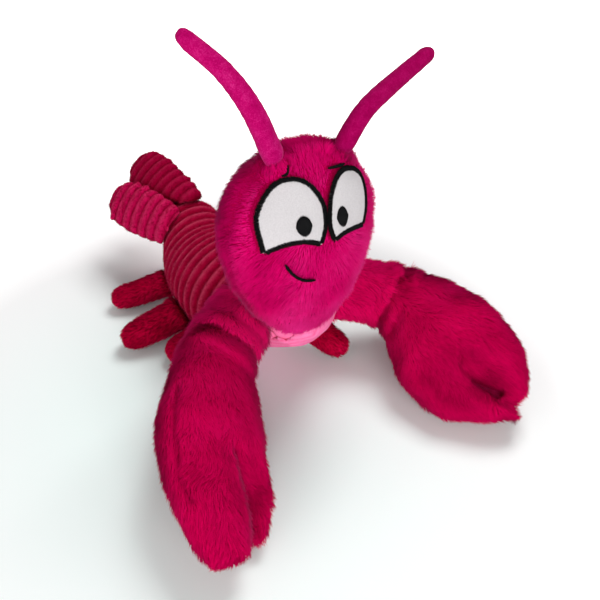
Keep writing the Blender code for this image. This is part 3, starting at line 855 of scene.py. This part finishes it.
def makeFelt(which):
    # white felt whose cut edge lies under the satin stitches
    edge = eyeEdges[which]
    bm = bmesh.new()
    bmesh.ops.create_grid(bm, x_segments=feltSet["grid"], y_segments=feltSet["grid"], size=feltSet["size"],
                          matrix=Matrix.Translation((*eyeCentres[which], 0)))
    middles = np.array([face.calc_center_median()[:2] for face in bm.faces])
    keep = within(middles, edge) | (lineDistance(middles, edge, True) < feltSet["under"])
    outside = [face for face, kept in zip(bm.faces, keep, strict=True) if not kept]
    bmesh.ops.delete(bm, geom=outside, context="FACES")
    mesh = toMesh("eye_felt_" + which, bm)
    flat = readVerts(mesh)[:, :2]
    depth = lineDistance(flat, edge, True) * within(flat, edge)
    lift = stitchSet["gap"] + stitchSet["felt"] + feltSet["puff"] * ease(depth, 0, feltSet["puffWidth"])
    writeVerts(mesh, facePoints(flat, lift)[0])
    piece = newPiece("eye_felt_" + which, mesh, felt)
    addModifier(piece, "SOLIDIFY", thickness=stitchSet["felt"], offset=-1)
    applied(piece).shade_smooth()
    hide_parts("eye_white_" + which)


def stitchRow(name, node, edge, width, closed, seed):
    draw = np.random.default_rng(seed)
    loop = np.vstack([edge, edge[:1]]) if closed else edge
    spans = np.linalg.norm(np.diff(loop, axis=0), axis=1)
    total = spans.sum()
    count = int(total / (stitchSet["thread"] * stitchSet["spacing"]))
    marks = np.linspace(0, total, count, endpoint=not closed)
    corners = np.concatenate([[0], np.cumsum(spans)])

    def onLoop(shift):
        return np.stack([np.interp(marks + shift, corners, loop[:, i]) for i in (0, 1)], axis=1)

    flat = onLoop(0)
    along = unit(onLoop(0.0004) - onLoop(-0.0004))
    across = np.stack([-along[:, 1], along[:, 0]], axis=1)
    wide = width * (1.05 + 0.14 * draw.uniform(-1, 1, count))
    if not closed:
        wide *= 0.55 + 0.45 * np.minimum(1, np.minimum(marks, total - marks) / (width * 0.9))
    lift = stitchSet["gap"] + stitchSet["thick"] / 2 + stitchSet["proud"]
    flat += across * (width * 0.05 * draw.uniform(-1, 1, count) - stitchSet["outward"] * closed)[:, None]
    middle, normals = facePoints(flat, lift)
    end, _ = facePoints(flat + across * wide[:, None] / 2, lift)
    sides = unit(end - middle)
    ways = unit(np.cross(normals, sides))
    slant = unit(sides + stitchSet["slant"] * ways)
    ways = unit(np.cross(normals, slant))
    axes = np.stack([ways * stitchSet["thread"], normals * stitchSet["thick"], slant * wide[:, None]], axis=1)
    tones = draw.uniform(0.2, 0.8, count)
    row = repeatPattern(name, stitchPattern(), middle, axes, tones, thread)
    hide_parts(node)


def pupilStitches(which):
    draw = np.random.default_rng(5)
    centre, wide = np.array(pupilForm[which]), pupilForm["halfWidth"][which]
    rows = int(2 * wide / (stitchSet["thread"] * stitchSet["pupilSpacing"]))
    offsets = np.linspace(-wide * 0.97, wide * 0.97, rows)
    uneven = 1.03 + 0.03 * draw.uniform(-1, 1, rows)
    tall = pupilForm["halfHeight"] * np.sqrt(1 - (offsets / wide) ** 2) * uneven
    flat = centre + np.stack([offsets, np.zeros(rows)], axis=1)
    top = stitchSet["gap"] + stitchSet["felt"] + feltSet["puff"] + stitchSet["pupilProud"]
    middle, normals = facePoints(flat, top)
    end, _ = facePoints(flat + np.array((0, 1)) * tall[:, None], top)
    sides = end - middle
    ways = unit(np.cross(normals, sides))
    across = ways * stitchSet["thread"] * stitchSet["pupilThread"]
    axes = np.stack([across, normals * stitchSet["thick"], sides * 2], axis=1)
    tones = draw.uniform(0.2, 0.8, rows)
    row = repeatPattern("pupil_stitches_" + which, stitchPattern(), middle, axes, tones, thread)
    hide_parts("pupil_" + which)


for which in bothSides:
    makeFelt(which)
    stitchRow("eye_stitches_" + which, "eye_outline_" + which, eyeEdges[which], stitchSet["satinWidth"],
              True, 3)
    stitchRow("brow_stitches_" + which, "brow_stitch_" + which, thinEdges["brow_" + which],
              stitchSet["browWidth"], False, 4)
    pupilStitches(which)
stitchRow("mouth_stitches", "mouth_stitch", thinEdges["mouth"], stitchSet["mouthWidth"], False, 6)
print("face stitched")

# Body and belly: ribs are raised after the stuffing

# the groove and crest tones paint shade into the pile's grooves, and the rim values place a painted sheen
# along each rib's rear edge
ribSet = {"pitch": 0.0104, "height": 0.0026, "bellyPitch": 0.0042, "bellyHeight": 0.0005, "middle": 0.45,
          "sheenRimAt": 0.68, "sheenRimWidth": 0.22, "sheenRimShare": 0.90, "grooveShadeTone": 0.14, "crestTone": 0.22,
          "sway": 0.0010, "swayLength": 0.07, "lean": 0.08, "leanAt": 0.05, "bellyLean": 0.3}
neckSet = {"from": -0.016, "to": -0.006, "under": (0.070, 0.082)}
ribPile = {"strands": 16000, "length": 0.0018, "width": 0.00047, "lean": 48, "stray": 0.3, "swirl": 0.012,
           "fuzz": 0.5, "tuft": 6, "pull": 0.2, "soft": 0.6, "mottle": 0.12, "seed": 51}


def saveValues(piece, name, values):
    attribute = piece.data.attributes.new(name, "FLOAT", "POINT")
    attribute.data.foreach_set("value", np.asarray(values, np.float32))


def ribSheenRim(share):
    # share runs from 0 to 1 across a rib; this places the painted sheen along the rib's rear edge
    return np.exp(-((share - ribSet["sheenRimAt"]) / ribSet["sheenRimWidth"]) ** 2)


def raiseRibs(piece, phase, pitch, height, narrow):
    # phase gives how far along the cloth each place lies, and ribs run across that way
    places = readVerts(piece.data)
    share = (phase(places) / pitch) % 1
    crest = np.sin(math.pi * share) ** narrow
    # crest shapes the ribs and also sets the painted shade in their grooves; rim marks where a painted sheen
    # goes
    saveValues(piece, "crest", crest)
    saveValues(piece, "rim", ribSheenRim(share) * ribSet["sheenRimShare"])
    rise = (crest - ribSet["middle"]) * height * ease(places[:, 2], 0.0005, 0.004)
    pushSkin(piece, lambda places, normals: rise)


def ribBody(places):
    sway = ribSet["sway"] * waves(places, ribSet["swayLength"], 21)
    return places[:, 1] + sway + ribSet["lean"] * (places[:, 2] - ribSet["leanAt"])


def ribBelly(places):
    return places[:, 2] + ribSet["bellyLean"] * places[:, 1]


def toneRibs(phase, pitch, light):
    # pile is painted darkest in the grooves, as painted shade, and lightest along the rear edge of each rib,
    # as a painted sheen
    def tone(roots, normals):
        share = (phase(roots) / pitch) % 1
        return ribSet["grooveShadeTone"] + ribSet["crestTone"] * np.sin(math.pi * share) + light * ribSheenRim(share)
    return tone


def combRear(roots, normals):
    return np.tile((0.0, 1.0, -0.2), (len(roots), 1))


def underChin(places):
    # 1 on the front of the neck, where the light cloth of the belly runs up to the chin
    along = places - np.array(centring)
    front = 1 - ease(along[:, 1], neckSet["from"], neckSet["to"])
    return front * (1 - ease(along[:, 2], *neckSet["under"]))


raiseRibs(bodySkin, ribBody, ribSet["pitch"], ribSet["height"], 0.55)
saveValues(bodySkin, "light", underChin(readVerts(bodySkin.data)))
dressSkin(bodySkin, "body", ribPaint)
# 0.50 is the strength of the painted sheen along the rear edges of the body's ribs
growPile("body_pile", bodySkin, ribPile, combRear, toneRibs(ribBody, ribSet["pitch"], 0.50), ribFur,
         lambda roots: 1 - underChin(roots))
raiseRibs(bellySkin, ribBelly, ribSet["bellyPitch"], ribSet["bellyHeight"], 0.6)
dressSkin(bellySkin, "belly_panel", bellyPaint)
print("body ribbed")

# Tail lobes: their places are measured from the middle of the body's rear end

rearEnd = Vector((0.0, 0.140, 0.049)) + centring
lobeForm = {"pitch": 0.0105, "height": 0.0016,
            "roots": {"right": (-0.022, -0.010, 0.015), "left": (-0.001, -0.001, 0.022)},
            "tips": {"right": (-0.0454, 0.0596, 0.0133), "left": (-0.0145, 0.081, 0.029)}}
lobePile = {**ribPile, "strands": 4500, "length": 0.0015, "seed": 71}

for which in bothSides:
    root = np.array(Vector(lobeForm["roots"][which]) + rearEnd)
    way = np.array(Vector(lobeForm["tips"][which]) + rearEnd) - root
    length = np.linalg.norm(way)
    pitch = length / round(length / lobeForm["pitch"])

    def ribLobe(places, root=root, way=way / length):
        return (places - root) @ way

    raiseRibs(lobeSkins[which], ribLobe, pitch, lobeForm["height"], 0.40)
    dressSkin(lobeSkins[which], "tail_lobe_" + which, lobePaints[which])
    # 0.28 is the strength of the painted sheen along the rear edges of the lobes' ribs
    growPile("tail_pile_" + which, lobeSkins[which], lobePile, combRear, toneRibs(ribLobe, pitch, 0.28),
             ribFur)
print("tail ribbed")

# Arms and claws

armForm = {"shoulder": {"right": (-0.012, 0.006, 0.060), "left": (0.040, 0.006, 0.058)},
           "wrist": {"right": (-0.053, -0.027, 0.060), "left": (0.101, -0.026, 0.046)},
           "palm": {"right": (-0.080, -0.082, 0.0345), "left": (0.106, -0.086, 0.0348)},
           "tip": {"right": (-0.100, -0.152, 0.0205), "left": (0.124, -0.150, 0.0215)}}
armPile = {"strands": 12500, "length": 0.0068, "width": 0.00064, "lean": 21, "stray": 0.30, "swirl": 0.024,
           "fuzz": 0.13, "tuft": 12, "pull": 0.32, "soft": 0.82, "mottle": 0.065, "seed": 31}
clawPile = {**armPile, "strands": 33500, "length": 0.0072, "width": 0.00067, "stray": 0.34, "pull": 0.34,
            "seed": 41}

# Furrows and ridges of each claw: pixels of the photograph, half width, depth, tone
# Tones below nought are painted shade in and beside the furrows, where a depth of nought paints shade alone;
# the tone above nought is a painted highlight along the raised ridge
clawMarks = {
    "right": [(((237, 447), (240, 468), (244, 489), (250, 512), (254, 534)), 0.0055, 0.0042, -0.30),
              (((232, 440), (235, 470), (239, 492), (245, 512)), 0.0040, -0.0008, 0.16),
              (((177, 384), (174, 410), (175, 436), (177, 456), (181, 476), (189, 496)),
               0.0045, 0.0022, -0.26),
              (((250, 455), (254, 480), (257, 505)), 0.0070, 0.0, -0.10)],
    "left": [(((462, 361), (467, 368), (473, 375), (480, 381), (488, 386), (498, 391)),
              0.0055, 0.0045, -0.34),
             (((459, 349), (462, 357)), 0.0040, 0.0025, -0.25),
             (((469, 352), (478, 364), (486, 376)), 0.0100, 0.0015, -0.16),
             (((425, 375), (440, 392), (462, 402)), 0.0100, 0.0, -0.14),
             (((404, 288), (400, 303), (396, 318), (390, 332)), 0.0075, 0.0010, -0.20)]}

# How light the pile is painted on each arm, and on each claw at the wrist and at the tip
# The right arm is painted lighter, as painted light, and the left arm darker, as painted shade; the join is
# painted shade where the arm meets the claw
armLightAndShadeTones = {"right": 0.92, "left": 0.64, "joinShade": -0.05, "joinShadeReach": (0.022, 0.034), "swirl": 0.08}
# Each claw is painted darker towards its tip, and the left claw darker overall: painted shade
clawShadeTones = {"right": (0.59, 0.39), "left": (0.55, 0.31), "reach": (0.02, 0.10), "swirl": 0.08}
combs = {"armAlong": 0.7, "armDown": 0.7, "clawOut": 0.45, "clawDown": 0.25, "legDown": 0.3}
down = np.array((0, 0, -1.0))


def at(table, which):
    return np.array(Vector(table[which]) + centring)


for which in bothSides:
    shoulder, wrist, palm, clawTip = (at(armForm[k], which) for k in ("shoulder", "wrist", "palm", "tip"))
    armWay = unit(wrist - shoulder)
    clawWay = unit(clawTip - wrist)
    closeJoin(armSkins[which], armSet["inset"], ("body", "head", "belly_panel", "claw_" + which))
    closeJoin(clawSkins[which], clawSet["inset"], ("upper_arm_" + which,))
    marks = skinMarks(clawSkins[which], clawMarks[which])

    def combArm(roots, normals, way=armWay):
        return np.tile(way * combs["armAlong"] + down * combs["armDown"], (len(roots), 1))

    def combClaw(roots, normals, way=clawWay, middle=palm):
        out = roots - middle
        out = out - (out @ way)[:, None] * way
        return way + unit(out) * combs["clawOut"] + down * combs["clawDown"]

    def toneArm(roots, normals, end=wrist, tone=armLightAndShadeTones[which]):
        # painted shade near the wrist, where the arm meets the claw
        joinShade = 1 - ease(np.linalg.norm(roots - end, axis=1), *armLightAndShadeTones["joinShadeReach"])
        return tone + armLightAndShadeTones["joinShade"] * joinShade + armLightAndShadeTones["swirl"] * waves(roots, 0.03, 9)

    def toneClaw(roots, normals, marks=marks, start=wrist, way=clawWay, tones=clawShadeTones[which]):
        # painted shade that deepens towards the tip
        along = ease((roots - start) @ way, *clawShadeTones["reach"])
        swirl = clawShadeTones["swirl"] * waves(roots, 0.028, 9)
        return tones[0] + (tones[1] - tones[0]) * along + swirl + markShadeAndHighlight(roots, marks)

    dressSkin(armSkins[which], "upper_arm_" + which, furSkin)
    growPile("arm_fur_pile_" + which, armSkins[which], armPile, combArm, toneArm, clawFur)
    dressSkin(clawSkins[which], "claw_" + which, furSkin)
    growPile("claw_fur_pile_" + which, clawSkins[which], clawPile, combClaw, toneClaw, clawFur,
             lambda roots, marks=marks: markReach(roots, marks))
print("arms and claws furred")

# Legs

legForm = {"roots": {"rear_right": (-0.024, 0.112, 0.022), "middle_right": (-0.028, 0.066, 0.028),
                     "front_right": (-0.026, 0.033, 0.026), "front_left": (0.034, 0.010, 0.026),
                     "middle_left": (0.024, 0.066, 0.026), "rear_left": (0.022, 0.112, 0.022)},
           "tips": {"rear_right": (-0.074, 0.126, 0.0108), "middle_right": (-0.083, 0.072, 0.0124),
                    "front_right": (-0.059, 0.041, 0.0113), "front_left": (0.052, -0.016, 0.0112),
                    "middle_left": (0.080, 0.070, 0.0124), "rear_left": (0.074, 0.126, 0.0108)}}
legPile = {"strands": 2900, "length": 0.0036, "width": 0.00067, "lean": 26, "stray": 0.3, "swirl": 0.015,
           "fuzz": 0.2, "tuft": 10, "pull": 0.25, "soft": 0.75, "mottle": 0.07, "seed": 61}
legTones = {"middle": 0.52, "swirl": 0.15}


def toneLeg(roots, normals):
    return legTones["middle"] + legTones["swirl"] * waves(roots, 0.02, 13)


for place in legPlaces:
    legWay = unit(at(legForm["tips"], place) - at(legForm["roots"], place))
    closeJoin(legSkins[place], legSet["inset"], ("body", "belly_panel"))
    dressSkin(legSkins[place], "leg_" + place, legSkin)

    def combLeg(roots, normals, way=legWay):
        return np.tile(way + down * combs["legDown"], (len(roots), 1))

    growPile("leg_fur_pile_" + place, legSkins[place], legPile, combLeg, toneLeg, legFur)
print("legs furred")

# Antennae

antennaSet = {"sink": 0.0034, "reach": (0.0005, 0.007), "fuller": 0.0009}
headTree = meshTree(frame["nodes"]["head"].data)


def sinkRoot(skin, values):
    # the root goes down into the pile of the head, and the rest is a little fuller than its CAD solid
    places, normals = readVerts(skin.data), vertNormals(skin.data)
    found = [headTree.find_nearest(place) for place in places]
    near = 1 - ease(np.array([hit[3] for hit in found]), *values["reach"])
    places += normals * (values["fuller"] * (1 - near))[:, None]
    places -= np.array([hit[1] for hit in found]) * (values["sink"] * near)[:, None]
    writeVerts(skin.data, places)


for which in bothSides:
    sinkRoot(antennaSkins[which], antennaSet)
    dressSkin(antennaSkins[which], "antenna_" + which, velours[which])
print("antennae dressed")

# Light, floor and background

lightSet = {
    "key": {"place": (0.72, 0.30, 1.50), "size": 0.8, "watts": 16.0},
    "front": {"place": (-0.32, -1.32, 0.38), "size": 0.9, "watts": 14.5},
    "side": {"place": (-1.20, -0.45, 0.45), "size": 0.9, "watts": 5.0},
}
worldStrength = 0.24
# The floor as the camera sees it: under the toy it takes back the pink that the toy throws on it, and far
# away it is plain white. All else sees it in the grey called bounced.
floorSet = {"size": 6.0, "under": (0.90, 1.03, 1.00), "underReach": (0.08, 0.25), "near": (1.03, 1.03, 1.03),
            "far": (2.1, 2.1, 2.1), "farReach": (0.24, 0.48), "whiteReach": (0.7, 1.3), "bounced": 0.75,
            "middle": (-0.06, -0.07, 0.0)}


def setLights(values):
    for name, lamp in values.items():
        data = bpy.data.lights.new(name, "AREA")
        data.size = lamp["size"]
        data.energy = lamp["watts"]
        light = bpy.data.objects.new(name, data)
        light.location = lamp["place"]
        light.rotation_euler = (-Vector(lamp["place"])).to_track_quat("-Z", "Y").to_euler()
        scene.collection.objects.link(light)


def setWorld(strength):
    world = bpy.data.worlds.new("studio")
    world.use_nodes = True
    scene.world = world
    tree = world.node_tree
    background = tree.nodes["Background"]
    background.inputs["Color"].default_value = (1, 1, 1, 1)
    ray = tree.nodes.new("ShaderNodeLightPath")
    level = tree.nodes.new("ShaderNodeMix")
    level.inputs[2].default_value = strength
    level.inputs[3].default_value = 1.0
    tree.links.new(ray.outputs["Is Camera Ray"], level.inputs[0])
    tree.links.new(level.outputs[0], background.inputs["Strength"])


def setFloor(values):
    bm = bmesh.new()
    bmesh.ops.create_grid(bm, x_segments=1, y_segments=1, size=values["size"] / 2)
    mesh = toMesh("floor", bm)
    paint = Paint("floor", 0.9)
    away = paint.node("ShaderNodeVectorMath", {"operation": "DISTANCE"}, paint.places(), values["middle"],
                      output="Value")
    shown = paint.mix(paint.spread(away, *values["underReach"]), values["under"], values["near"])
    shown = paint.mix(paint.spread(away, *values["farReach"]), shown, values["far"])
    seen = paint.node("ShaderNodeLightPath", {}, output="Is Camera Ray")
    paint.colour(paint.mix(seen, (values["bounced"],) * 3, shown))
    glow = paint.mix(seen * paint.spread(away, *values["whiteReach"]), (0.0, 0.0, 0.0), (1.0, 1.0, 1.0))
    paint.put(paint.shader.inputs["Emission Color"], glow)
    paint.shader.inputs["Emission Strength"].default_value = 1.0
    mesh.materials.append(paint.material)
    floor = bpy.data.objects.new("floor", mesh)
    scene.collection.objects.link(floor)
    floor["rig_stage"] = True


setCamera(cameraSet)
setLights(lightSet)
setWorld(worldStrength)
setFloor(floorSet)
scene.view_settings.view_transform = "Standard"

shown = [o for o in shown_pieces() if "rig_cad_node" not in o]
print("triangles added", sum(sum(len(f.vertices) - 2 for f in o.data.polygons) for o in shown))
